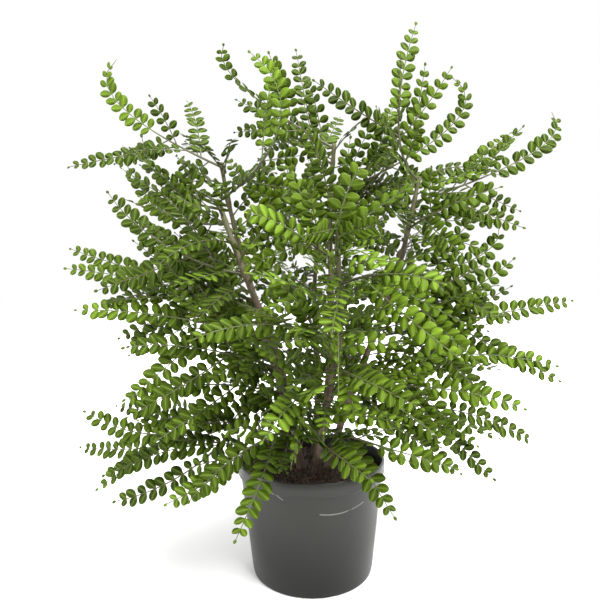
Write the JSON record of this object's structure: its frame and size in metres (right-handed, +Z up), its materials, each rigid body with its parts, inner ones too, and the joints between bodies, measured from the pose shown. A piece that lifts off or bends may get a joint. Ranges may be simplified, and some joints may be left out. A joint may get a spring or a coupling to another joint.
{
  "type": "potted fern",
  "caption": "Bushy potted fern with woody stems and arching pinnate fronds of small rounded leaflets, standing in a round tapered plastic nursery pot of dark soil.",
  "frame": {"origin": "centre of the pot's underside, on the plane that it stands on", "axes": "+Z up; -Y is the front, where the fullest side of the plant faces; +X to the right seen from the front"},
  "size_m": [0.5288, 0.4086, 0.5572],
  "materials": {
    "pot_plastic": "satin",
    "soil_coir": "matte",
    "stem_bark": "matte",
    "leaf": "satin"
  },
  "bodies": {
    "root": {"pot": "pot_plastic", "soil": "soil_coir", "spray_front_high": "leaf", "spray_front_high_left": "leaf", "spray_front_low_left": "leaf", "spray_front_low_right": "leaf", "spray_front_mid": "leaf", "spray_front_mid_left": "leaf", "spray_front_mid_right": "leaf", "spray_left_far": "leaf", "spray_left_far_rear": "leaf", "spray_left_high": "leaf", "spray_left_high_rear": "leaf", "spray_left_level": "leaf", "spray_left_low": "leaf", "spray_left_lower": "leaf", "spray_left_mid": "leaf", "spray_left_shoot": "leaf", "spray_reach_left": "leaf", "spray_reach_left_front": "leaf", "spray_reach_left_rear": "leaf", "spray_rear_low": "leaf", "spray_rear_low_left": "leaf", "spray_rear_low_right": "leaf", "spray_rear_mid": "leaf", "spray_rear_mid_left": "leaf", "spray_rear_mid_right": "leaf", "spray_rear_top": "leaf", "spray_rear_top_left": "leaf", "spray_rear_top_right": "leaf", "spray_right_far": "leaf", "spray_right_high": "leaf", "spray_right_high_low": "leaf", "spray_right_low": "leaf", "spray_right_lower": "leaf", "spray_right_mid": "leaf", "spray_right_rear_high": "leaf", "spray_right_skirt": "leaf", "spray_right_upper": "leaf", "spray_right_upper_front": "leaf", "spray_skirt_front": "leaf", "spray_skirt_front_left": "leaf", "spray_skirt_left": "leaf", "spray_skirt_right": "leaf", "spray_top_arch": "leaf", "spray_top_centre": "leaf", "spray_top_left": "leaf", "spray_top_left_upright": "leaf", "spray_top_right": "leaf", "spray_top_right_lean": "leaf", "spray_top_right_rear": "leaf", "spray_upper_front": "leaf", "spray_upper_front_left": "leaf", "stem_centre": "stem_bark", "stem_front": "stem_bark", "stem_left": "stem_bark", "stem_low": "stem_bark", "stem_rear": "stem_bark", "stem_rear_left": "stem_bark", "stem_right": "stem_bark"}
  },
  "joints": []
}
